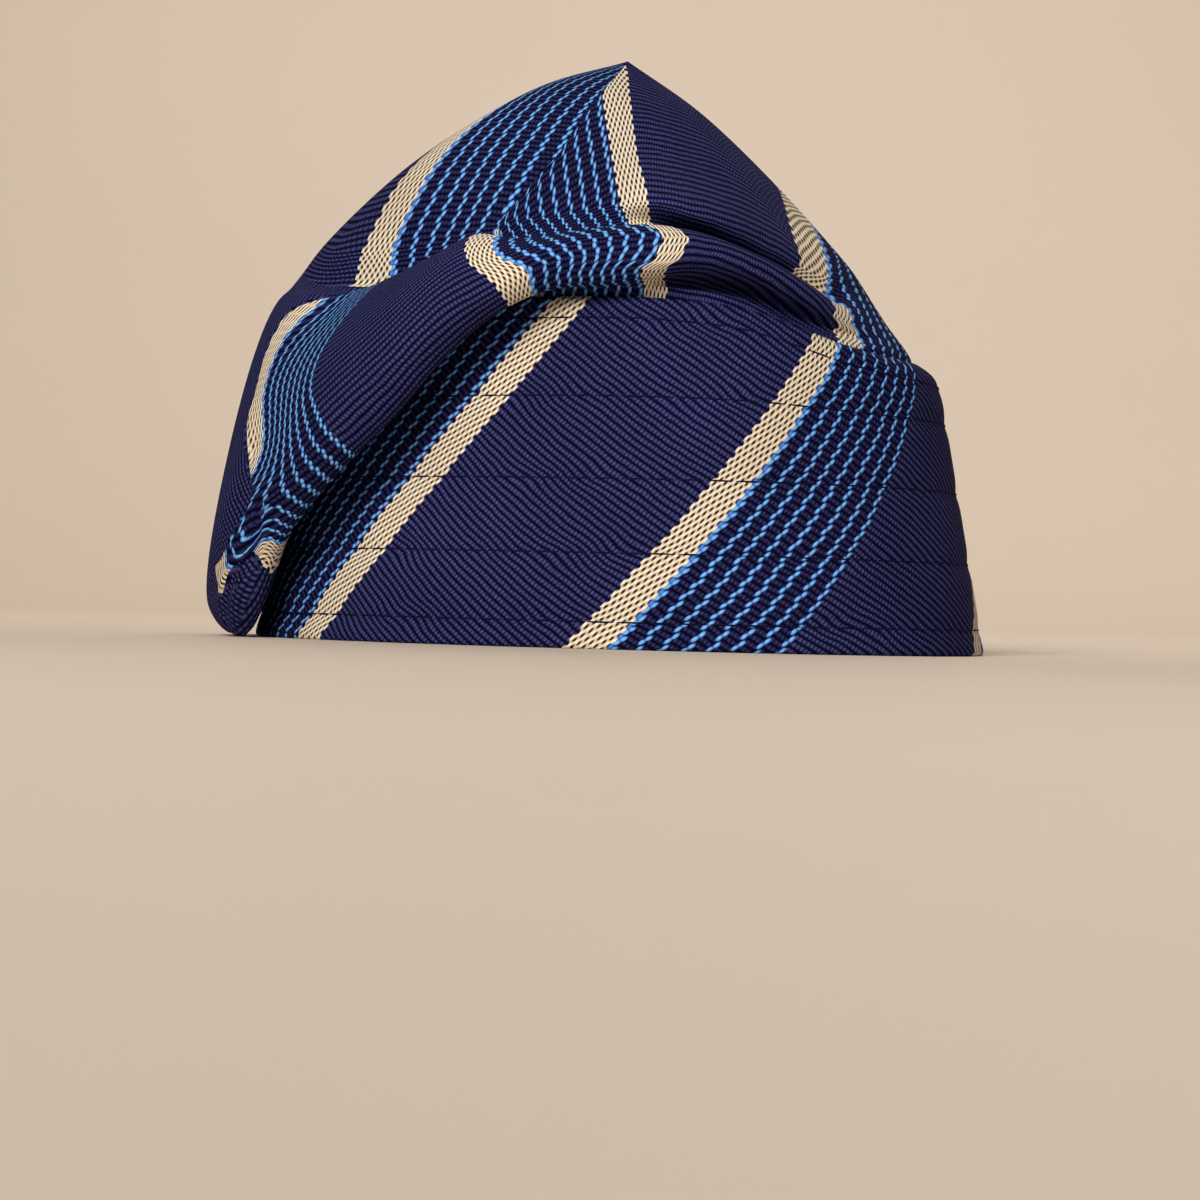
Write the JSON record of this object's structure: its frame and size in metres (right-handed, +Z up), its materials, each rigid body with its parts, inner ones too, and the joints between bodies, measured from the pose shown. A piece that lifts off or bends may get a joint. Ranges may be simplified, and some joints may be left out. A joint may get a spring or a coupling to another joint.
{
  "type": "fila cap",
  "caption": "Soft oval cap of strip-woven striped cloth: a stitched leaning band and a hollow crown that rises to a peak and flops over one side, worn on the head.",
  "frame": {"origin": "middle of the cap's box at the level of the rim that it stands on", "axes": "+Z up from the rim to the peak, -Y the wearer's front, +X the wearer's left; the crown flops over the band on the -X side"},
  "size_m": [0.1816, 0.203, 0.146],
  "materials": {
    "band_cloth": "warp-faced strip-woven cotton, matt with a slight sheen on the ribs",
    "crown_cloth": "warp-faced strip-woven cotton, matt with a slight sheen on the ribs"
  },
  "bodies": {
    "root": {"band": "band_cloth", "crown": "crown_cloth"}
  },
  "joints": []
}
